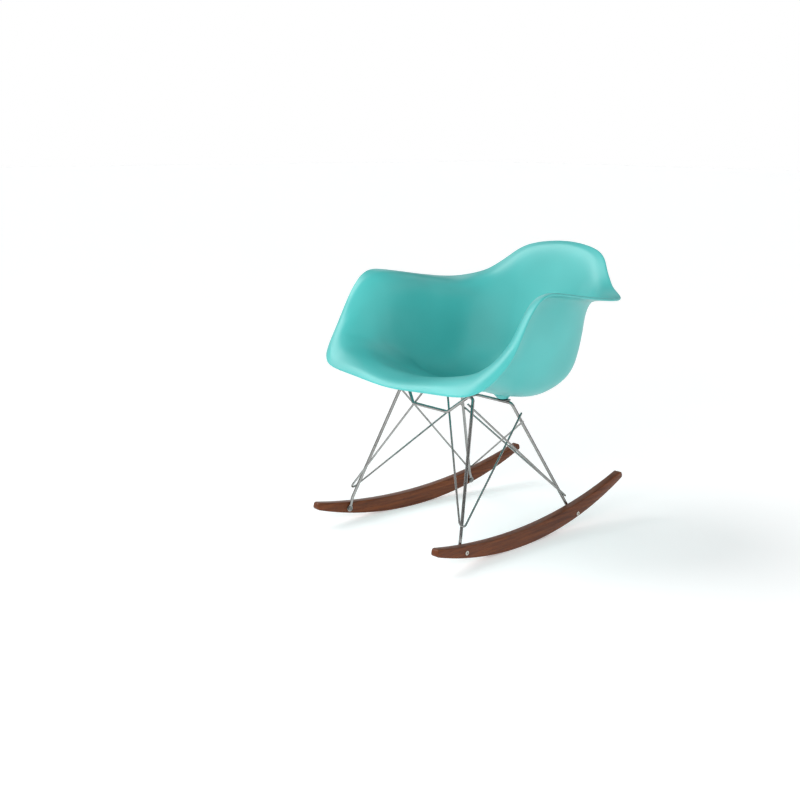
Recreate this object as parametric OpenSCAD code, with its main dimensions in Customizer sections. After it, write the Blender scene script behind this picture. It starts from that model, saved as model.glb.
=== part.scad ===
// Rocking chair: a moulded plastic tub armchair on a bent wire frame with two wooden rockers.
// Millimetres. The front of the chair faces -Y, the sitter's left is +X, and +Z is up.
// The rockers touch the floor plane z = 0 at y = 0.

/* [Seat shell] */
// Wall thickness of the moulded shell
shell_t = 6; // [4:0.5:8]
// Grid steps between two neighbouring ribs of the shell
rib_steps = 3; // [2:1:4]
// Grid steps between two neighbouring points along a rib
ray_steps = 3; // [2:1:4]
// Diameter of a mounting boss where it meets the shell
boss_wide = 46; // [30:1:48]
// Diameter of a mounting boss at its lower end
boss_d = 25; // [16:1:28]

/* [Rockers] */
// Length of a rocker from tip to tip
rocker_len = 694; // [670:1:700]
// Thickness of the rocker board
rocker_t = 21; // [20:1:26]
// Height of the board at its thickest place
rocker_h = 40; // [38:1:44]
// Radius of the running edge
run_r = 925; // [900:5:1000]
// Radius of the top edge
top_r = 1365; // [1300:5:1500]
// Distance from the middle of the chair to the inner face of a rocker, at y = 0
rocker_in = 193; // [190:1:196]
// Angle by which the rockers close towards the back
toe = 3; // [2:0.5:4]
// How far the front tips stand before the floor contact
front_reach = 291; // [275:1:300]

/* [Frame] */
// Diameter of the two bent leg rods
rod_d = 8; // [7:0.5:9]
// Diameter of the four V struts
strut_d = 5; // [4:0.5:5.5]
// Bend radius of the leg rods at the seat, on their centre line
bend_r = 12; // [9:1:16]
// Diameter of the flattened eye at the foot of each leg
eye_d = 16; // [15:0.5:18]
// Thickness of the flattened eye
eye_t = 4; // [3:0.5:5]

/* [Fasteners] */
// Thread diameter of the bolts that hold the legs to the rockers
bolt_d = 6; // [5:0.5:6]
// Diameter of the bolt heads and cap nut flanges
head_d = 11; // [10:0.5:13]
// Thread diameter of the screws that hold the seat
screw_d = 5; // [4:0.5:6]
// Thickness of the steel tabs on the leg rods
tab_t = 3; // [2:0.5:4]
// Thickness of the rubber pads
pad_t = 2.5; // [2:0.5:3]

/* [Hidden] */
SIDES = [1, -1];
SIDE_NAMES = ["left", "right"];
END_NAMES = ["front", "rear"];
// Radial clearance of a bolt or screw in its hole, and how far a cut runs past a face
clear = 0.1;
past = 1;
fine = 48;

// Rods: how far a straight stretch reaches into a bend, and how much fuller the bend is
lap = 0.4;
hair = 0.04;
rod_fn = 32;

// Rockers: where the top edge's circle is centred, and how far the ends lean back
top_y = -30;
end_lean = [-14, 22];

// Places of the eyes along the rockers and their heights
eye_y = [-195, 217];
eye_z = [34, 35];
function face_x(y) = rocker_in - y * tan(toe);
function eye(e) = [face_x(eye_y[e]) - rod_d / 2, eye_y[e], eye_z[e]];

// Leg rod points on the sitter's left; the right side is their mirror image.
knee = [[198, -189, 62], [172, 203, 62]];
leg_top = [[121, -80, 374], [88, 85, 320]];
front_dip = [61, -107, 322];
knee_r = 30;
function leg_at(e, z) = knee[e] + (leg_top[e] - knee[e]) * (z - knee[e][2]) / (leg_top[e][2] - knee[e][2]);

// V struts: heights at which they turn round a leg, and at which their arms meet other rods
loop_z = [93, 84];
side_z = [288, 343];
cross_z = 268;
// Radius of the turn, how far from the leg's axis it is centred, and the rod-to-strut distance
loop_r = 9.5;
loop_shift = [[7, -5, 2], [4, 4, 0]];
touch = (rod_d + strut_d) / 2;
dip_pass = [-1, touch, 2];
// How far the arms run on past those places: at a leg, at a crossing and at the front rod's dip
side_over = 10;
cross_over = 15;
dip_over = 36;

// Seat mounts: the screw's place and the tab's middle, and the underside of the tab
screw_at = [[110, -70], [68, 74]];
tab_at = [[115, -77], [68, 79]];
tab_z = [bend_top(knee[0], leg_top[0], front_dip), leg_top[1][2] + rod_d / 2];
// Height of a boss's cone, and the middle of the wall above it: its height and its slope
boss_rise = 12;
wall_z = [386.6, 341.3];
wall_slope = [[0.22, -0.32], [0.03, -0.18]];
insert_d = 8;
insert_h = 7;
screw_head_d = 9;
screw_head_h = 3;
tab_x = 26;
tab_y = 28;
tab_r = 6;

// Bolts into the rockers: head, sleeve nut and its flange, and the hexagon sockets in them
bolt_head_h = 3;
nut_sleeve_d = 8;
nut_sleeve_h = 12;
nut_flange = 1.6;
socket_d = 4.6;
socket_deep = 2;
small_socket_d = 3.4;

// ---------- vectors ----------

function unit(v) = v / norm(v);
function flip(p) = [-p[0], p[1], p[2]];
function flip_all(path) = [for (i = [len(path) - 1 : -1 : 0]) flip(path[i])];

// Catmull-Rom value between p1 and p2
function spline(p0, p1, p2, p3, t) =
    0.5 * (2 * p1 + (p2 - p0) * t + (2 * p0 - 5 * p1 + 4 * p2 - p3) * t * t
    + (3 * p1 - p0 - 3 * p2 + p3) * t * t * t);

// ---------- rods ----------

// Places its children with their Z axis along dir and their X axis near side
module along(at, dir, side) {
    z = unit(dir);
    y = unit(cross(z, side));
    x = cross(y, z);
    multmatrix([
        [x[0], y[0], z[0], at[0]],
        [x[1], y[1], z[1], at[1]],
        [x[2], y[2], z[2], at[2]],
        [0, 0, 0, 1]]) children();
}

// Length from a corner to where its bend of radius r starts
function bend_cut(a, b, c, r) =
    r / tan(acos(unit(a - b) * unit(c - b)) / 2);

// Points on both sides of each bend of a path, where the straight stretches end
function cut_start(p, r, i) = i == 0 ? p[0] :
    p[i] + unit(p[i + 1] - p[i]) * bend_cut(p[i - 1], p[i], p[i + 1], r[i]);
function cut_end(p, r, i) = i == len(p) - 1 ? p[i] :
    p[i] + unit(p[i - 1] - p[i]) * bend_cut(p[i - 1], p[i], p[i + 1], r[i]);

// Round rod of diameter d along the points p, with bend radius r[i] at point i. The straight
// stretches reach a little into the bends, which are fuller by a hair, so that they fuse.
module rod(p, r, d) {
    last = len(p) - 1;
    for (i = [0 : last - 1]) {
        a = cut_start(p, r, i);
        b = cut_end(p, r, i + 1);
        dir = unit(b - a);
        start = a - dir * (i == 0 ? 0 : lap);
        end = b + dir * (i == last - 1 ? 0 : lap);
        any = abs(dir[0]) > 0.9 ? [0, 0, 1] : [1, 0, 0];
        along(start, dir, any) cylinder(h = norm(end - start), d = d, $fn = rod_fn);
    }
    for (i = [1 : last - 1]) bend(p[i - 1], p[i], p[i + 1], r[i], d + 2 * hair);
}

// Torus stretch that joins the straight stretches at corner b
module bend(a, b, c, r, d) {
    u = unit(a - b);
    v = unit(c - b);
    open = acos(u * v);
    centre = b + unit(u + v) * r / sin(open / 2);
    start = unit(b + u * bend_cut(a, b, c, r) - centre);
    along(centre, cross(v, u), start)
        rotate_extrude(angle = 180 - open, $fn = 96)
            translate([r, 0]) circle(d = d, $fn = rod_fn);
}

// ---------- seat shell ----------

// Points of the +X half of the shell, halfway through its wall. Each rib runs from the
// middle of the seat outwards: floor, floor, bend, wall, roll, crest, rim.
seat_middle = [0, 40, 350];
RIBS = [
    [[0, -20, 361], [0, -90, 383], [0, -140, 400], [0, -175, 408], [0, -210, 406],
        [0, -232, 401], [0, -243, 392]],
    [[32, -20, 362], [66, -90, 386], [96, -140, 408], [112, -172, 420], [120, -205, 420],
        [124, -228, 412], [126, -238, 399]],
    [[56, -12, 362], [114, -72, 388], [160, -120, 420], [188, -152, 436], [208, -190, 437],
        [218, -215, 422], [222, -230, 405]],
    [[68, -2, 360], [134, -52, 388], [184, -92, 426], [216, -128, 452], [246, -172, 460],
        [259, -202, 441], [263, -216, 417]],
    [[74, 6, 359], [145, -35, 386], [196, -70, 430], [226, -102, 464], [262, -150, 482],
        [281, -177, 467], [288, -191, 440]],
    [[78, 16, 357], [150, -18, 382], [204, -45, 430], [233, -70, 482], [266, -108, 520],
        [292, -136, 514], [306, -146, 493]],
    [[81, 28, 354], [156, 0, 377], [208, -22, 430], [236, -38, 504], [257, -60, 565],
        [286, -84, 588], [307, -96, 580]],
    [[82, 38, 350], [160, 16, 371], [210, 4, 428], [236, -4, 510], [246, -12, 578],
        [270, -28, 612], [308, -46, 620]],
    [[82, 50, 347], [160, 42, 364], [208, 45, 420], [232, 45, 510], [240, 45, 580],
        [264, 40, 610], [311, 30, 614]],
    [[80, 66, 343], [156, 80, 355], [202, 100, 408], [224, 112, 495], [234, 116, 565],
        [258, 122, 594], [305, 128, 598]],
    [[72, 88, 339], [140, 125, 347], [189, 175, 398], [206, 192, 485], [212, 195, 556],
        [235, 208, 581], [288, 237, 586]],
    [[58, 106, 336], [110, 161, 341], [150, 216, 394], [165, 236, 480], [175, 248, 550],
        [193, 267, 592], [221, 289, 603]],
    [[40, 118, 334], [78, 183, 342], [108, 242, 395], [120, 262, 480], [129, 284, 564],
        [149, 305, 618], [178, 320, 633]],
    [[24, 126, 333], [48, 195, 347], [68, 251, 401], [78, 278, 482], [86, 308, 582],
        [102, 338, 660], [121, 357, 678]],
    [[0, 130, 332], [0, 205, 351], [0, 261, 407], [0, 290, 490], [0, 324, 592],
        [0, 354, 676], [0, 374, 694]],
];

// Whole ring of ribs: the half above and its mirror image
half_n = len(RIBS);
ring_n = 2 * half_n - 2;
function rib(i) = let (k = (i + 2 * ring_n) % ring_n)
    k < half_n ? RIBS[k] : [for (p = RIBS[ring_n - k]) flip(p)];

// Point j of rib i, with the seat's middle as point 0; before it lies the opposite rib
function net(i, j) = j == 0 ? seat_middle :
    j < 0 ? rib(i + half_n - 1)[0] :
    j > 7 ? 2 * rib(i)[6] - rib(i)[5] : rib(i)[j - 1];
function net_ray(i, j, t) =
    spline(net(i, j - 1), net(i, j), net(i, j + 1), net(i, j + 2), t);
function skin_point(i, s, j, t) = spline(
    net_ray(i - 1, j, t), net_ray(i, j, t), net_ray(i + 1, j, t), net_ray(i + 2, j, t), s);

around = ring_n * rib_steps;
out = 7 * ray_steps;
MID = [for (k = [1 : out]) let (j = k == out ? 6 : floor(k / ray_steps), t = k / ray_steps - j)
    [for (a = [0 : around - 1]) let (i = floor(a / rib_steps))
        skin_point(i, a / rib_steps - i, j, t)]];
NORMAL = [for (k = [0 : out - 1]) [for (a = [0 : around - 1])
    let (
        east = MID[k][(a + 1) % around] - MID[k][(a + around - 1) % around],
        outer = MID[min(k + 1, out - 1)][a],
        inner = k == 0 ? seat_middle : MID[k - 1][a])
    unit(cross(outer - inner, east))]];

// Rings of one face of the shell: side 1 is the sitter's, -1 the underside
function face_ring(k, side) =
    [for (a = [0 : around - 1]) MID[k][a] + NORMAL[k][a] * side * shell_t / 2];
// Rings of the rounded rim, turned about the edge of the middle of the wall
function rim_ring(angle) = [for (a = [0 : around - 1])
    let (ahead = unit(MID[out - 1][a] - MID[out - 2][a]))
    MID[out - 1][a] + (NORMAL[out - 1][a] * cos(angle) + ahead * sin(angle)) * shell_t / 2];

module shell_body() {
    rings = concat(
        [for (k = [0 : out - 1]) face_ring(k, 1)],
        [for (angle = [45 : 45 : 135]) rim_ring(angle)],
        [for (k = [out - 1 : -1 : 0]) face_ring(k, -1)]);
    n = len(rings);
    points = concat([seat_middle + [0, 0, shell_t / 2]], [for (r = rings) each r],
        [seat_middle - [0, 0, shell_t / 2]]);
    function at(k, a) = 1 + k * around + a % around;
    faces = concat(
        [for (a = [0 : around - 1]) [0, at(0, a + 1), at(0, a)]],
        [for (k = [0 : n - 2], a = [0 : around - 1]) each [
            [at(k, a), at(k + 1, a + 1), at(k + 1, a)],
            [at(k, a), at(k, a + 1), at(k + 1, a + 1)]]],
        [for (a = [0 : around - 1]) [n * around + 1, at(n - 1, a), at(n - 1, a + 1)]]);
    polyhedron(points, faces, convexity = 8);
}

// Height of the underside of the boss, on top of its rubber pad
function boss_z(e) = tab_z[e] + tab_t + pad_t;

module seat_shell() {
    color("mediumturquoise") difference() {
        union() {
            shell_body();
            for (e = [0, 1], s = SIDES) boss(e, s);
        }
        for (e = [0, 1], s = SIDES) at_screw(e, s, boss_z(e) - past)
            cylinder(h = insert_h + past + 2 * clear, d = insert_d, $fn = fine);
    }
}

// Cone under the seat, cut off along the middle of the wall above it
module boss(e, side) {
    reach = 30;
    slope = wall_slope[e];
    intersection() {
        at_screw(e, side, boss_z(e)) {
            cylinder(h = boss_rise, d1 = boss_d, d2 = boss_wide, $fn = fine);
            translate([0, 0, boss_rise]) cylinder(h = reach, d = boss_wide, $fn = fine);
        }
        at_screw(e, side, wall_z[e]) along([0, 0, 0], [-side * slope[0], -slope[1], 1], [1, 0, 0])
            translate([0, 0, -2 * reach]) cylinder(h = 2 * reach, d = 3 * boss_wide, $fn = fine);
    }
}

// ---------- frame ----------

// Height of the highest point of a leg rod's bend at b
function bend_top(a, b, c) = let (
        u = unit(a - b),
        v = unit(c - b),
        centre = b + unit(u + v) * bend_r / sin(acos(u * v) / 2),
        n = unit(cross(u, v)))
    centre[2] + bend_r * sqrt(1 - n[2] * n[2]) + rod_d / 2;

// Flattened eye at the foot of a leg, flat against the rocker
module leg_eye(e, side) {
    at_eye(e, side) translate([0, 0, -eye_t]) cylinder(h = eye_t, d = eye_d, $fn = fine);
}

module leg_bore(e, side) {
    at_eye(e, side)
        cylinder(h = 3 * rod_d, d = bolt_d + 2 * clear, center = true, $fn = fine);
}

// Makes room for the bolt head and flattens the rod's end to the thickness of the eye
module leg_flat(e, side) {
    translate([side * face_x(eye_y[e]), eye_y[e], eye_z[e] - eye_d])
        rotate([0, 0, side * toe])
            translate([side > 0 ? -eye_t - 2 * rod_d : eye_t, -eye_d, 0])
                cube([2 * rod_d, 2 * eye_d, eye_d * 1.6]);
}

// A bent rod with legs on both sides; middle holds its points between the two leg tops
module leg_rod(e, middle) {
    half = concat([eye(e), knee[e], leg_top[e]], middle);
    radii = concat([0, knee_r, bend_r], [for (p = middle) bend_r]);
    back = [for (i = [len(radii) - 1 : -1 : 0]) radii[i]];
    color("silver") difference() {
        union() {
            rod(concat(half, flip_all(half)), concat(radii, back), rod_d);
            for (s = SIDES) leg_eye(e, s);
        }
        for (s = SIDES) {
            leg_flat(e, s);
            leg_bore(e, s);
        }
    }
}

module front_leg_rod() {
    leg_rod(0, [front_dip]);
}

module rear_leg_rod() {
    leg_rod(1, []);
}

// ---------- V struts ----------

// Moves p away from the middle of the chair by d, along x
function outward(p, side, d) = [side * (p[0] + d), p[1], p[2]];

// One strut: an open V that turns round its own leg
module v_strut(c, a, b, over) {
    u = unit(a - c);
    v = unit(b - c);
    tip = c - unit(u + v) * loop_r / sin(acos(u * v) / 2);
    over_a = a + unit(a - tip) * over[0];
    over_b = b + unit(b - tip) * over[1];
    color("lightslategray") rod([over_a, tip, over_b], [0, loop_r, 0], strut_d);
}

// From the foot of a front leg to the rear leg and to the dip of the front rod
module strut_front(side) {
    v_strut(outward(leg_at(0, loop_z[0]) + loop_shift[0], side, 0),
        outward(leg_at(1, side_z[0]), side, touch),
        outward(front_dip + dip_pass, side, 0), [side_over, dip_over]);
}

// From the foot of a rear leg to the front leg and to the opposite rear leg
module strut_rear(side) {
    v_strut(outward(leg_at(1, loop_z[1]) + loop_shift[1], side, 0),
        outward(leg_at(0, side_z[1]), side, -touch),
        outward(leg_at(1, cross_z), -side, 0) + [0, side * touch, 0],
        [side_over, cross_over]);
}

// ---------- rockers ----------

// Heights of the running edge and the top edge at y
function run_z(y) = run_r - sqrt(run_r * run_r - y * y);
function top_z(y) = rocker_h + top_r - sqrt(top_r * top_r - (y - top_y) * (y - top_y));

// Points of the cut across the end i of a rocker, square to the board, k times reach above it
end_y = [-front_reach, rocker_len - front_reach];
function end_at(i, k) = let (y = end_y[i], reach = 4 * rocker_h)
    [y, (run_z(y) + top_z(y)) / 2] + k * reach * [-sin(end_lean[i]), cos(end_lean[i])];

module rocker_outline() {
    difference() {
        intersection() {
            translate([0, run_r]) circle(r = run_r, $fn = 720);
            polygon([end_at(0, -1), end_at(1, -1), end_at(1, 1), end_at(0, 1)]);
        }
        translate([top_y, rocker_h + top_r]) circle(r = top_r, $fn = 720);
    }
}

// Places its children, drawn about an eye with z pointing outwards, on a rocker's inner face
module at_eye(e, side) {
    translate([side * face_x(eye_y[e]), eye_y[e], eye_z[e]])
        rotate([0, 0, side * toe]) rotate([0, side * 90, 0]) children();
}

module rocker(side) {
    color("saddlebrown") difference() {
        translate([side * rocker_in, 0, 0]) rotate([0, 0, side * toe])
            translate([side > 0 ? 0 : -rocker_t, 0, 0])
                rotate([90, 0, 90]) linear_extrude(rocker_t) rocker_outline();
        for (e = [0, 1]) at_eye(e, side) {
            translate([0, 0, -past])
                cylinder(h = rocker_t + 2 * past, d = bolt_d + 2 * clear, $fn = fine);
            translate([0, 0, rocker_t - nut_sleeve_h - past])
                cylinder(h = nut_sleeve_h + 2 * past, d = nut_sleeve_d + 2 * clear, $fn = fine);
        }
    }
}

// Bolt from the inner side, through the eye into the cap nut
module rocker_bolt(e, side) {
    gap = 4;
    color("dimgray") at_eye(e, side) translate([0, 0, -eye_t]) difference() {
        union() {
            translate([0, 0, -bolt_head_h]) cylinder(h = bolt_head_h, d = head_d, $fn = fine);
            cylinder(h = eye_t + rocker_t - gap, d = bolt_d, $fn = fine);
        }
        translate([0, 0, -bolt_head_h - past])
            cylinder(h = socket_deep + past, d = socket_d, $fn = 6);
    }
}

// Sleeve nut with a thin flange on the rocker's outer face
module cap_nut(e, side) {
    wall = 2.5;
    color("gainsboro") at_eye(e, side) translate([0, 0, rocker_t]) difference() {
        union() {
            cylinder(h = nut_flange, d = head_d, $fn = fine);
            translate([0, 0, -nut_sleeve_h])
                cylinder(h = nut_sleeve_h, d = nut_sleeve_d, $fn = fine);
        }
        translate([0, 0, -nut_sleeve_h - past])
            cylinder(h = nut_sleeve_h + past - wall, d = bolt_d + clear, $fn = fine);
        translate([0, 0, nut_flange - socket_deep])
            cylinder(h = socket_deep + past, d = socket_d, $fn = 6);
    }
}

// ---------- seat mounts ----------

// Plate with round corners, centred on z
module round_plate(x, y, h, r) {
    translate([-x / 2 + r, -y / 2, 0]) cube([x - 2 * r, y, h]);
    translate([-x / 2, -y / 2 + r, 0]) cube([x, y - 2 * r, h]);
    for (i = SIDES, j = SIDES) translate([i * (x / 2 - r), j * (y / 2 - r), 0])
        cylinder(h = h, r = r, $fn = fine);
}

// Places its children on a seat screw's axis at height z
module at_screw(e, side, z) {
    translate([side * screw_at[e][0], screw_at[e][1], z]) children();
}

// Steel tab on top of a leg rod, with the screw hole beside the rod
module seat_tab(e, side) {
    color("darkgray") difference() {
        translate([side * tab_at[e][0], tab_at[e][1], tab_z[e]])
            round_plate(tab_x, tab_y, tab_t, tab_r);
        at_screw(e, side, tab_z[e] - past)
            cylinder(h = tab_t + 2 * past, d = screw_d + 2 * clear, $fn = fine);
    }
}

// Black ring between a tab and a boss
module rubber_pad(e, side) {
    color("black") at_screw(e, side, tab_z[e] + tab_t) difference() {
        cylinder(h = pad_t, d = boss_d, $fn = fine);
        translate([0, 0, -past])
            cylinder(h = pad_t + 2 * past, d = screw_d + 2 * clear, $fn = fine);
    }
}

// Screw from below, through the tab and the pad into the insert
module seat_screw(e, side) {
    color("dimgray") at_screw(e, side, tab_z[e]) difference() {
        union() {
            translate([0, 0, -screw_head_h])
                cylinder(h = screw_head_h, d = screw_head_d, $fn = fine);
            cylinder(h = tab_t + pad_t + insert_h - 1, d = screw_d, $fn = fine);
        }
        translate([0, 0, -screw_head_h - past])
            cylinder(h = socket_deep + past, d = small_socket_d, $fn = 6);
    }
}

// Brass insert moulded into a boss
module threaded_insert(e, side) {
    color("goldenrod") at_screw(e, side, boss_z(e)) difference() {
        cylinder(h = insert_h, d = insert_d, $fn = fine);
        translate([0, 0, -past])
            cylinder(h = insert_h + 2 * past, d = screw_d + clear, $fn = fine);
    }
}

// ---------- the whole chair ----------

seat_shell();
front_leg_rod();
rear_leg_rod();
for (i = [0, 1]) rocker(SIDES[i]);
for (i = [0, 1]) {
    side = SIDES[i];
    strut_front(side);
    strut_rear(side);
    for (e = [0, 1]) {
        end = str(END_NAMES[e], "_", SIDE_NAMES[i]);
        seat_tab(e, side);
        rubber_pad(e, side);
        seat_screw(e, side);
        threaded_insert(e, side);
        rocker_bolt(e, side);
        cap_nut(e, side);
    }
}
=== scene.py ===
"""Rocking chair: a moulded tub armchair on a bent rod frame with two stained wooden rockers."""

import math

import bpy
from mathutils import Matrix, Vector


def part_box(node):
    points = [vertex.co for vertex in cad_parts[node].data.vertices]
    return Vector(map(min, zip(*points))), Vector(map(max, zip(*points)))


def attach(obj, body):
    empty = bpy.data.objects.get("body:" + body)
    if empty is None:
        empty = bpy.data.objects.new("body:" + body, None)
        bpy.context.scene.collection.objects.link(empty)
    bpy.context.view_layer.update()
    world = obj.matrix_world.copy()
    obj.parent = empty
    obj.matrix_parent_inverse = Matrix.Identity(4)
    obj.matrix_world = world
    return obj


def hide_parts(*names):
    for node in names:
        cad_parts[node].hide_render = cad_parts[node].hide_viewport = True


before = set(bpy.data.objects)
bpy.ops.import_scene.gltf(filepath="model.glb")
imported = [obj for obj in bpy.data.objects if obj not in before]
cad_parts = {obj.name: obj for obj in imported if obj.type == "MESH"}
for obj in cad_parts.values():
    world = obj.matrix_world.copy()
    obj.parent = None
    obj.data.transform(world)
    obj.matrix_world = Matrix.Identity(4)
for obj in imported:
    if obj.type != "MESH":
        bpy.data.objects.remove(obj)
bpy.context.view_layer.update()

bl_info = {
    "name": "Rocking Chair",
    "version": (1, 0, 0),
    "blender": (4, 5, 0),
    "location": "View3D > Sidebar > Rocking Chair",
    "description": "Builds a moulded tub rocking chair around its CAD frame",
    "category": "Add Mesh",
}

MM = 0.001
BODY = "root"
SIDES = ("left", "right")
CORNERS = [f"{end}_{side}" for end in ("front", "rear") for side in SIDES]

# Two CAD vertices closer than this are one
WELD = 0.003 * MM
# Two faces that meet at more than this many degrees make a real edge of a rocker
REAL_EDGE = 45
# Bevel segments of a rocker's rounded ends and long edges
END_SEGMENTS = 5
LONG_SEGMENTS = 3

# Middle of the seat, which the lights point at, and their places, in metres
SEAT = (0.0, 0.05, 0.45)
KEY_PLACE = (-2.1, -1.3, 2.9)
SIDE_PLACE = (1.3, -2.9, 1.4)
SIDE_SIZE = 1.6
# Camera place in metres, yaw, pitch and roll in degrees, and lens and sensor in millimetres
CAMERA_PLACE = (2.004, -1.961, 0.964)
CAMERA_ANGLES = (48.75, 12.89, 0.41)
CAMERA_LENS = 52.2
CAMERA_SENSOR = 36.0
CAMERA_FAR = 200.0


# ---------- colours and nodes ----------

def linear(hex_colour):
    """An sRGB hex colour as linear red, green, blue and alpha."""
    values = [int(hex_colour[i:i + 2], 16) / 255 for i in (1, 3, 5)]
    return [v / 12.92 if v <= 0.04045 else ((v + 0.055) / 1.055) ** 2.4 for v in values] + [1.0]


def add_node(tree, kind, settings=(), values=(), links=(), stops=()):
    """Adds a node with its settings, input values, input links and colour stops."""
    node = tree.nodes.new(kind)
    for name, value in dict(settings).items():
        setattr(node, name, value)
    for name, value in dict(values).items():
        node.inputs[name].default_value = value
    for name, socket in dict(links).items():
        tree.links.new(socket, node.inputs[name])
    for i, (place, colour) in enumerate(stops):
        ramp = node.color_ramp.elements
        stop = ramp[i] if i < 2 else ramp.new(place)
        stop.position = place
        stop.color = colour
    return node


def new_material(name, values):
    """A material with one Principled shader; returns it with its tree, shader and coordinates."""
    material = bpy.data.materials.new(name)
    material.use_nodes = True
    tree = material.node_tree
    tree.nodes.clear()
    shader = add_node(tree, "ShaderNodeBsdfPrincipled", values=values)
    add_node(tree, "ShaderNodeOutputMaterial", links={"Surface": shader.outputs[0]})
    place = add_node(tree, "ShaderNodeTexCoord").outputs["Object"]
    return material, tree, shader, place


def per_metre(size_mm):
    """Texture scale of a pattern whose features are size_mm apart, on coordinates in metres."""
    return 1 / (size_mm * MM)


# ---------- materials ----------

def moulded_polypropylene(colour, roughness):
    """Injection moulded polypropylene from a spark eroded mould: an even colour with a broad,
    soft sheen, a very fine grain that breaks the highlights, and faint flow marks."""
    material, tree, shader, place = new_material(
        "moulded_polypropylene", {"Roughness": roughness, "IOR": 1.49,
                                  "Specular IOR Level": 0.75})
    # Flow marks about 180 mm across, hardly lighter or darker than the plastic
    flow = add_node(tree, "ShaderNodeTexNoise", values={"Scale": per_metre(180), "Detail": 2.0},
                    links={"Vector": place})
    deep = [c * 0.93 for c in colour[:3]] + [1.0]
    pale = [min(1.0, c * 1.05) for c in colour[:3]] + [1.0]
    tint = add_node(tree, "ShaderNodeValToRGB", links={"Fac": flow.outputs["Fac"]},
                    stops=[(0.35, deep), (0.65, pale)])
    tree.links.new(tint.outputs["Color"], shader.inputs["Base Color"])
    # The mould's grain is about 0.5 mm; it is drawn at 2.5 mm so that it shows
    grain = add_node(tree, "ShaderNodeTexNoise", values={"Scale": per_metre(2.5), "Detail": 3.0},
                     links={"Vector": place})
    gloss = add_node(tree, "ShaderNodeMapRange",
                     values={"To Min": roughness - 0.05, "To Max": roughness + 0.06},
                     links={"Value": grain.outputs["Fac"]})
    bump = add_node(tree, "ShaderNodeBump", values={"Strength": 0.18, "Distance": 0.1 * MM},
                    links={"Height": grain.outputs["Fac"]})
    tree.links.new(gloss.outputs["Result"], shader.inputs["Roughness"])
    tree.links.new(bump.outputs["Normal"], shader.inputs["Normal"])
    return material


def stained_beech(light, dark):
    """Solid beech, stained dark reddish brown and sealed with satin lacquer: long streaks along
    the board, short darker pores, and a sheen on the faces that see the light."""
    material, tree, shader, place = new_material(
        "stained_beech", {"IOR": 1.5, "Coat Weight": 0.35, "Coat Roughness": 0.3,
                          "Specular IOR Level": 0.1})
    # Growth rings 5 mm apart across the board, drawn out to 250 mm along it
    stretch = add_node(tree, "ShaderNodeMapping", links={"Vector": place},
                       values={"Scale": (per_metre(5), per_metre(250), per_metre(5))})
    rings = add_node(tree, "ShaderNodeTexNoise",
                     values={"Scale": 1.0, "Detail": 5.0, "Roughness": 0.6, "Distortion": 0.4},
                     links={"Vector": stretch.outputs["Vector"]})
    tone = add_node(tree, "ShaderNodeValToRGB", links={"Fac": rings.outputs["Fac"]},
                    stops=[(0.3, dark), (0.7, light)])
    # Pores 0.3 mm wide, drawn 1 mm wide and 12 mm long
    pore_place = add_node(tree, "ShaderNodeMapping", links={"Vector": place},
                          values={"Scale": (per_metre(1), per_metre(12), per_metre(1))})
    pores = add_node(tree, "ShaderNodeTexNoise", values={"Scale": 1.0, "Detail": 1.0},
                     links={"Vector": pore_place.outputs["Vector"]})
    pore_mask = add_node(tree, "ShaderNodeMapRange",
                         values={"From Min": 0.58, "From Max": 0.72, "To Max": 0.55},
                         links={"Value": pores.outputs["Fac"]})
    mixed = add_node(tree, "ShaderNodeMix", {"data_type": "RGBA", "blend_type": "MULTIPLY"},
                     links={0: pore_mask.outputs["Result"], 6: tone.outputs["Color"],
                            7: tone.outputs["Color"]})
    tree.links.new(mixed.outputs[2], shader.inputs["Base Color"])
    gloss = add_node(tree, "ShaderNodeMapRange", values={"To Min": 0.36, "To Max": 0.5},
                     links={"Value": rings.outputs["Fac"]})
    tree.links.new(gloss.outputs["Result"], shader.inputs["Roughness"])
    bump = add_node(tree, "ShaderNodeBump", {"invert": True},
                    {"Strength": 0.25, "Distance": 0.15 * MM},
                    {"Height": pore_mask.outputs["Result"]})
    tree.links.new(bump.outputs["Normal"], shader.inputs["Normal"])
    return material


def metal(name, colour, roughness, spread, grain_mm):
    """A metal surface whose polish varies a little from place to place."""
    material, tree, shader, place = new_material(name, {"Metallic": 1.0})
    noise = add_node(tree, "ShaderNodeTexNoise", values={"Scale": per_metre(grain_mm), "Detail": 3.0},
                     links={"Vector": place})
    gloss = add_node(tree, "ShaderNodeMapRange",
                     values={"To Min": roughness - spread, "To Max": roughness + spread},
                     links={"Value": noise.outputs["Fac"]})
    dull = [c * 0.86 for c in colour[:3]] + [1.0]
    tint = add_node(tree, "ShaderNodeValToRGB", links={"Fac": noise.outputs["Fac"]},
                    stops=[(0.3, dull), (0.6, colour)])
    bump = add_node(tree, "ShaderNodeBump", values={"Strength": 0.08, "Distance": 0.05 * MM},
                    links={"Height": noise.outputs["Fac"]})
    tree.links.new(tint.outputs["Color"], shader.inputs["Base Color"])
    tree.links.new(gloss.outputs["Result"], shader.inputs["Roughness"])
    tree.links.new(bump.outputs["Normal"], shader.inputs["Normal"])
    return material


def bright_chrome(colour):
    """Chromium plated steel wire, drawn and polished: sharp dark and bright bands along a rod."""
    return metal("bright_chrome", colour, 0.13, 0.04, 9)


def zinc_plate():
    """Zinc plated steel as on cheap bolts: grey, dull, with faint cloudy patches."""
    return metal("zinc_plate", linear("#8c8d8b"), 0.36, 0.08, 3)


def nickel_plate():
    """Nickel plated steel: warmer and softer than chrome."""
    return metal("nickel_plate", linear("#c6c2ba"), 0.24, 0.05, 3)


def turned_brass():
    """Turned brass: yellow, with dull patches where it has tarnished."""
    return metal("turned_brass", linear("#c9a35a"), 0.3, 0.06, 2)


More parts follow.
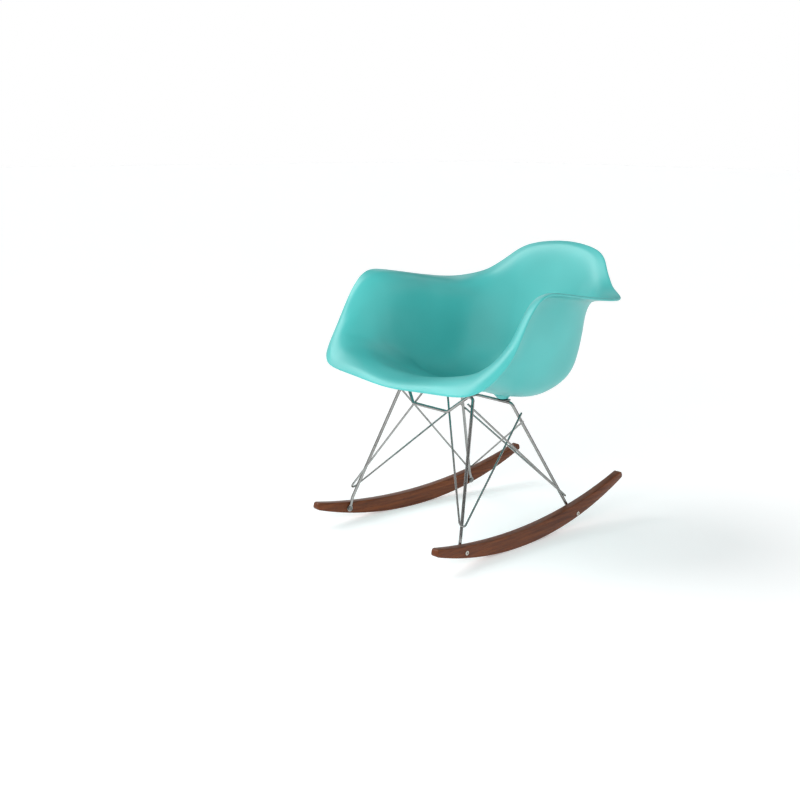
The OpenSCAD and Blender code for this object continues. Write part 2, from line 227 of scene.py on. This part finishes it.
def black_rubber():
    """Moulded nitrile rubber: nearly black and matt, with a fine dusty grain."""
    material, tree, shader, place = new_material("black_rubber", {"Roughness": 0.8, "IOR": 1.52})
    grain = add_node(tree, "ShaderNodeTexNoise", values={"Scale": per_metre(1.5), "Detail": 2.0},
                     links={"Vector": place})
    tint = add_node(tree, "ShaderNodeValToRGB", links={"Fac": grain.outputs["Fac"]},
                    stops=[(0.3, linear("#131313")), (0.7, linear("#1f1f1f"))])
    bump = add_node(tree, "ShaderNodeBump", values={"Strength": 0.3, "Distance": 0.1 * MM},
                    links={"Height": grain.outputs["Fac"]})
    tree.links.new(tint.outputs["Color"], shader.inputs["Base Color"])
    tree.links.new(bump.outputs["Normal"], shader.inputs["Normal"])
    return material


def studio_paper(colour, glow):
    """Seamless studio paper that glows a little: matt, even, with a faint fibre tone."""
    material, tree, shader, place = new_material(
        "studio_paper", {"Roughness": 0.95, "Specular IOR Level": 0.1,
                         "Emission Color": (1.0, 1.0, 1.0, 1.0), "Emission Strength": glow})
    fibre = add_node(tree, "ShaderNodeTexNoise", values={"Scale": per_metre(400)},
                     links={"Vector": place})
    shade = [c * 0.985 for c in colour[:3]] + [1.0]
    tint = add_node(tree, "ShaderNodeValToRGB", links={"Fac": fibre.outputs["Fac"]},
                    stops=[(0.4, shade), (0.6, colour)])
    tree.links.new(tint.outputs["Color"], shader.inputs["Base Color"])
    return material


# ---------- mesh helpers ----------

def select_only(piece):
    """Deselects everything, then makes piece the one selected and active object."""
    bpy.ops.object.select_all(action="DESELECT")
    piece.select_set(True)
    bpy.context.view_layer.objects.active = piece


def merged_copy(node, name):
    """A copy of a CAD node's mesh with its loose triangles merged into one closed skin."""
    piece = bpy.data.objects.new(name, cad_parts[node].data.copy())
    bpy.context.scene.collection.objects.link(piece)
    select_only(piece)
    bpy.ops.object.mode_set(mode="EDIT")
    bpy.ops.mesh.select_all(action="SELECT")
    bpy.ops.mesh.remove_doubles(threshold=WELD)
    bpy.ops.mesh.customdata_custom_splitnormals_clear()
    bpy.ops.mesh.select_all(action="DESELECT")
    bpy.ops.object.mode_set(mode="OBJECT")
    return piece


def edge_angle(piece):
    """For each edge index of two faces, the angle in degrees between their normals."""
    mesh = piece.data
    faces = {}
    for face in mesh.polygons:
        for key in face.edge_keys:
            faces.setdefault(key, []).append(face.normal)
    angles = {}
    for edge in mesh.edges:
        normals = faces.get(edge.key, [])
        if len(normals) == 2:
            angles[edge.index] = math.degrees(normals[0].angle(normals[1], 0.0))
    return angles


def bevel_edges(piece, chosen, width, segments):
    """Bevels the chosen edges of piece in edit mode."""
    select_only(piece)
    bpy.ops.object.mode_set(mode="EDIT")
    bpy.ops.mesh.select_mode(type="EDGE")
    bpy.ops.mesh.select_all(action="DESELECT")
    bpy.ops.object.mode_set(mode="OBJECT")
    for index in chosen:
        piece.data.edges[index].select = True
    bpy.ops.object.mode_set(mode="EDIT")
    bpy.ops.mesh.bevel(offset=width, segments=segments, profile=0.5, affect="EDGES",
                       clamp_overlap=True)
    bpy.ops.mesh.select_all(action="DESELECT")
    bpy.ops.object.mode_set(mode="OBJECT")


def flatten_facets(piece, degrees):
    """Joins the triangles of flat faces, so that only real edges are left."""
    select_only(piece)
    bpy.ops.object.mode_set(mode="EDIT")
    bpy.ops.mesh.select_all(action="SELECT")
    bpy.ops.mesh.dissolve_limited(angle_limit=math.radians(degrees))
    bpy.ops.mesh.select_all(action="DESELECT")
    bpy.ops.object.mode_set(mode="OBJECT")


def apply_modifier(piece, kind, settings):
    """Adds a modifier of that kind with its settings and applies it."""
    select_only(piece)
    modifier = piece.modifiers.new(kind.lower(), kind)
    for name, value in settings.items():
        setattr(modifier, name, value)
    bpy.ops.object.modifier_apply(modifier=modifier.name)


def smooth(piece, degrees):
    """Smooth shading, with edges sharper than degrees kept crisp."""
    select_only(piece)
    bpy.ops.object.shade_smooth_by_angle(angle=math.radians(degrees))


def hand_over(piece, material, node):
    """Gives a finished piece its material and puts it in place of its CAD node."""
    piece.data.materials.clear()
    piece.data.materials.append(material)
    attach(piece, BODY)
    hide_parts(node)


def hardware(node, material, edge_mm):
    """A CAD fastener or plate with small rounded edges."""
    piece = merged_copy(node, node + "_finished")
    flatten_facets(piece, 1)
    apply_modifier(piece, "BEVEL", {"width": edge_mm * MM, "segments": 2, "limit_method": "ANGLE",
                                    "angle_limit": math.radians(40)})
    smooth(piece, 35)
    hand_over(piece, material, node)


# ---------- settings ----------

def colour_property(name, description, hex_colour):
    """A colour that a user can change."""
    return bpy.props.FloatVectorProperty(name=name, description=description, subtype="COLOR",
                                         size=4, min=0.0, max=1.0, default=linear(hex_colour))


def length_property(name, description, millimetres):
    """A length that a user can change."""
    return bpy.props.FloatProperty(name=name, description=description, unit="LENGTH", min=0.0,
                                   default=millimetres * MM)


class ChairSettings(bpy.types.PropertyGroup):
    """Sizes and colours of the chair's finish."""

    shell_colour: colour_property("Shell colour", "Colour of the moulded plastic", "#45b5b2")
    shell_roughness: bpy.props.FloatProperty(
        name="Shell roughness", description="Roughness of the moulded plastic", min=0.1, max=1.0,
        default=0.38)
    wood_light: colour_property("Wood, light", "Lighter streaks of the stained wood", "#743d1a")
    wood_dark: colour_property("Wood, dark", "Darker streaks of the stained wood", "#46200b")
    chrome_colour: colour_property("Chrome", "Tint of the chromed rods", "#a3a3a1")
    long_edge: length_property("Long edge", "Rounding along a rocker", 1.8)
    end_edge: length_property("End edge", "Rounding of a rocker's ends", 6.0)


class StageSettings(bpy.types.PropertyGroup):
    """Floor, light and camera."""

    floor_colour: colour_property("Floor", "Colour of the studio paper", "#f6f6f6")
    floor_size: length_property("Floor size", "Side of the square floor", 60000)
    floor_glow: bpy.props.FloatProperty(name="Floor glow", description="Light from the paper",
                                        min=0.0, default=0.27)
    ambient: bpy.props.FloatProperty(name="Ambient light", description="Strength of the world",
                                     min=0.0, default=1.3)
    key_power: bpy.props.FloatProperty(name="Key power", description="Watts per square metre",
                                       min=0.0, default=1.2)
    key_spread: bpy.props.FloatProperty(name="Key spread", description="Width in degrees",
                                        min=0.0, max=90.0, default=38.0)
    side_power: bpy.props.FloatProperty(name="Side power", description="Power in watts",
                                        min=0.0, default=42.0)


# ---------- operators ----------

class CHAIR_OT_seat_shell(bpy.types.Operator):
    """Make the moulded seat shell with its four bosses"""

    bl_idname = "chair.seat_shell"
    bl_label = "Seat shell"

    def execute(self, context):
        settings = context.scene.chair
        piece = merged_copy("seat_shell", "moulded_seat_shell")
        select_only(piece)
        bpy.ops.object.mode_set(mode="EDIT")
        bpy.ops.mesh.select_all(action="SELECT")
        bpy.ops.mesh.tris_convert_to_quads(face_threshold=math.radians(40),
                                           shape_threshold=math.radians(60))
        bpy.ops.mesh.select_all(action="DESELECT")
        bpy.ops.object.mode_set(mode="OBJECT")
        apply_modifier(piece, "SUBSURF", {"levels": 2, "render_levels": 2})
        smooth(piece, 60)
        material = moulded_polypropylene(list(settings.shell_colour), settings.shell_roughness)
        hand_over(piece, material, "seat_shell")
        return {"FINISHED"}


class CHAIR_OT_rockers(bpy.types.Operator):
    """Make the two wooden rockers with rounded edges and ends"""

    bl_idname = "chair.rockers"
    bl_label = "Rockers"

    def execute(self, context):
        settings = context.scene.chair
        material = stained_beech(list(settings.wood_light), list(settings.wood_dark))
        for side in SIDES:
            node = "rocker_" + side
            piece = merged_copy(node, "wooden_" + node)
            flatten_facets(piece, 0.1)
            low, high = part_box(node)
            self.round_ends(piece, low[1], high[1], settings.end_edge)
            self.round_long_edges(piece, settings.long_edge)
            smooth(piece, 30)
            hand_over(piece, material, node)
        return {"FINISHED"}

    def round_ends(self, piece, front, back, width):
        """Rounds the upper and lower edge of both end faces."""
        mesh = piece.data
        near_end = 12 * MM
        chosen = []
        for index, angle in edge_angle(piece).items():
            a, b = (mesh.vertices[v].co for v in mesh.edges[index].vertices)
            middle = (a + b) / 2
            across = abs((b - a).normalized().x) > 0.9
            at_end = middle.y < front + near_end or middle.y > back - near_end
            if angle > REAL_EDGE and across and at_end:
                chosen.append(index)
        bevel_edges(piece, chosen, width, END_SEGMENTS)

    def round_long_edges(self, piece, width):
        """Rounds the edges between the board's sides and its other faces, but no bore."""
        mesh = piece.data
        bore_edge = 6 * MM
        chosen = []
        bolts = [Vector([sum(pair) / 2 for pair in zip(*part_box("rocker_bolt_" + corner))])
                 for corner in CORNERS]
        for index, angle in edge_angle(piece).items():
            a, b = (mesh.vertices[v].co for v in mesh.edges[index].vertices)
            middle = (a + b) / 2
            in_bore = any(math.hypot(middle.y - bolt.y, middle.z - bolt.z) < bore_edge
                          for bolt in bolts)
            if angle > REAL_EDGE and not in_bore:
                chosen.append(index)
        bevel_edges(piece, chosen, width, LONG_SEGMENTS)


class CHAIR_OT_rod_frame(bpy.types.Operator):
    """Make the chromed leg rods and struts"""

    bl_idname = "chair.rod_frame"
    bl_label = "Rod frame"

    def execute(self, context):
        material = bright_chrome(list(context.scene.chair.chrome_colour))
        slots = {"front_leg_rod": "rod", "rear_leg_rod": "rod"}
        slots.update({"strut_" + corner: "strut" for corner in CORNERS})
        for node, slot in slots.items():
            piece = merged_copy(node, node + "_chromed")
            smooth(piece, 35)
            hand_over(piece, material, node)
        return {"FINISHED"}


class CHAIR_OT_fasteners(bpy.types.Operator):
    """Make the bolts, nuts, screws, inserts, tabs and pads"""

    bl_idname = "chair.fasteners"
    bl_label = "Fasteners"

    def execute(self, context):
        zinc, nickel, brass, rubber = zinc_plate(), nickel_plate(), turned_brass(), black_rubber()
        kinds = (("rocker_bolt", "screw", zinc, 0.4), ("cap_nut", "nut", nickel, 0.4),
                 ("seat_screw", "screw", zinc, 0.3), ("threaded_insert", "insert", brass, 0.2),
                 ("seat_tab", "tab", zinc, 0.5), ("rubber_pad", "pad", rubber, 0.4))
        for kind, slot, material, edge_mm in kinds:
            for corner in CORNERS:
                hardware(f"{kind}_{corner}", material, edge_mm)
        return {"FINISHED"}


class CHAIR_OT_stage(bpy.types.Operator):
    """Make the pale floor, the soft lights and the camera"""

    bl_idname = "chair.stage"
    bl_label = "Stage"

    def execute(self, context):
        settings = context.scene.chair_stage
        context.scene.view_settings.view_transform = "Standard"
        bpy.ops.object.select_all(action="DESELECT")
        bpy.ops.mesh.primitive_plane_add(size=settings.floor_size)
        floor = context.active_object
        floor.name = "floor"
        floor.data.materials.append(studio_paper(list(settings.floor_colour),
                                                 settings.floor_glow))
        key = self.light("SUN", "key_light", KEY_PLACE, settings.key_power)
        key.data.angle = math.radians(settings.key_spread)
        side = self.light("AREA", "side_light", SIDE_PLACE, settings.side_power)
        side.data.size = SIDE_SIZE
        side.visible_glossy = False
        self.sky(context, settings.ambient)
        self.camera(context)
        return {"FINISHED"}

    def light(self, kind, name, place, power):
        """A lamp of that kind at that place, pointing at the seat."""
        bpy.ops.object.light_add(type=kind, location=place)
        lamp = bpy.context.active_object
        lamp.name = name
        lamp.data.energy = power
        lamp.rotation_euler = (Vector(SEAT) - lamp.location).to_track_quat("-Z", "Y").to_euler()
        return lamp

    def sky(self, context, strength):
        """A white studio that darkens towards the ceiling. Mirrored rays meet dark flags all
        round instead, which the rods show as dark and bright bands."""
        world = bpy.data.worlds.new("studio")
        context.scene.world = world
        world.use_nodes = True
        tree = world.node_tree
        tree.nodes.clear()
        way = add_node(tree, "ShaderNodeTexCoord").outputs["Generated"]
        height = add_node(tree, "ShaderNodeSeparateXYZ", links={"Vector": way})
        # White up to 17 degrees above the horizon, then darker up to the ceiling
        band = add_node(tree, "ShaderNodeValToRGB", links={"Fac": height.outputs["Z"]},
                        stops=[(0.3, linear("#ffffff")), (0.85, linear("#4a5052"))])
        # Dark flags about 10 degrees across
        flags = add_node(tree, "ShaderNodeTexNoise", values={"Scale": 6.0, "Detail": 0.0},
                         links={"Vector": way})
        dark = add_node(tree, "ShaderNodeValToRGB", links={"Fac": flags.outputs["Fac"]},
                        stops=[(0.46, linear("#3a3c3e")), (0.56, linear("#f0f0f0"))])
        lit = add_node(tree, "ShaderNodeBackground", values={"Strength": strength},
                       links={"Color": band.outputs["Color"]})
        mirrored = add_node(tree, "ShaderNodeBackground", values={"Strength": strength},
                            links={"Color": dark.outputs["Color"]})
        seen = add_node(tree, "ShaderNodeBackground", values={"Color": linear("#ffffff")})
        path = add_node(tree, "ShaderNodeLightPath")
        # A mirrored ray takes the flags, and the camera sees plain white behind the chair
        unseen = add_node(tree, "ShaderNodeMixShader",
                        links={0: path.outputs["Is Glossy Ray"], 1: lit.outputs[0],
                               2: mirrored.outputs[0]})
        both = add_node(tree, "ShaderNodeMixShader",
                        links={0: path.outputs["Is Camera Ray"], 1: unseen.outputs[0],
                               2: seen.outputs[0]})
        add_node(tree, "ShaderNodeOutputWorld", links={"Surface": both.outputs[0]})

    def camera(self, context):
        """A camera in front of the chair's left side, looking down a little."""
        yaw, pitch, roll = (math.radians(angle) for angle in CAMERA_ANGLES)
        ahead = Vector((-math.sin(yaw) * math.cos(pitch), math.cos(yaw) * math.cos(pitch),
                        -math.sin(pitch)))
        right = Vector((math.cos(yaw), math.sin(yaw), 0.0))
        up = right.cross(ahead)
        turned_right = right * math.cos(roll) + up * math.sin(roll)
        turned_up = up * math.cos(roll) - right * math.sin(roll)
        bpy.ops.object.camera_add()
        camera = context.active_object
        camera.matrix_world = (Matrix.Translation(CAMERA_PLACE)
                               @ Matrix((turned_right, turned_up, -ahead)).transposed().to_4x4())
        camera.data.sensor_width = CAMERA_SENSOR
        camera.data.lens = CAMERA_LENS
        camera.data.clip_end = CAMERA_FAR
        context.scene.camera = camera


class CHAIR_PT_panel(bpy.types.Panel):
    """Sidebar panel that lists the chair's pieces"""

    bl_idname = "CHAIR_PT_panel"
    bl_label = "Rocking Chair"
    bl_space_type = "VIEW_3D"
    bl_region_type = "UI"
    bl_category = "Rocking Chair"

    def draw(self, context):
        for settings in (context.scene.chair, context.scene.chair_stage):
            for name in settings.__annotations__:
                self.layout.prop(settings, name)
        for operator in OPERATORS:
            self.layout.operator(operator.bl_idname)


OPERATORS = (CHAIR_OT_seat_shell, CHAIR_OT_rockers, CHAIR_OT_rod_frame, CHAIR_OT_fasteners,
             CHAIR_OT_stage)
CLASSES = (ChairSettings, StageSettings, *OPERATORS, CHAIR_PT_panel)


def register():
    """Adds the settings, operators and panel to Blender."""
    for cls in CLASSES:
        bpy.utils.register_class(cls)
    bpy.types.Scene.chair = bpy.props.PointerProperty(type=ChairSettings)
    bpy.types.Scene.chair_stage = bpy.props.PointerProperty(type=StageSettings)


def unregister():
    """Takes them out again."""
    del bpy.types.Scene.chair
    del bpy.types.Scene.chair_stage
    for cls in reversed(CLASSES):
        bpy.utils.unregister_class(cls)


def main():
    """Registers the settings and operators, then builds everything."""
    register()
    bpy.ops.chair.seat_shell()
    bpy.ops.chair.rockers()
    bpy.ops.chair.rod_frame()
    bpy.ops.chair.fasteners()
    bpy.ops.chair.stage()


if __name__ == "__main__":
    main()
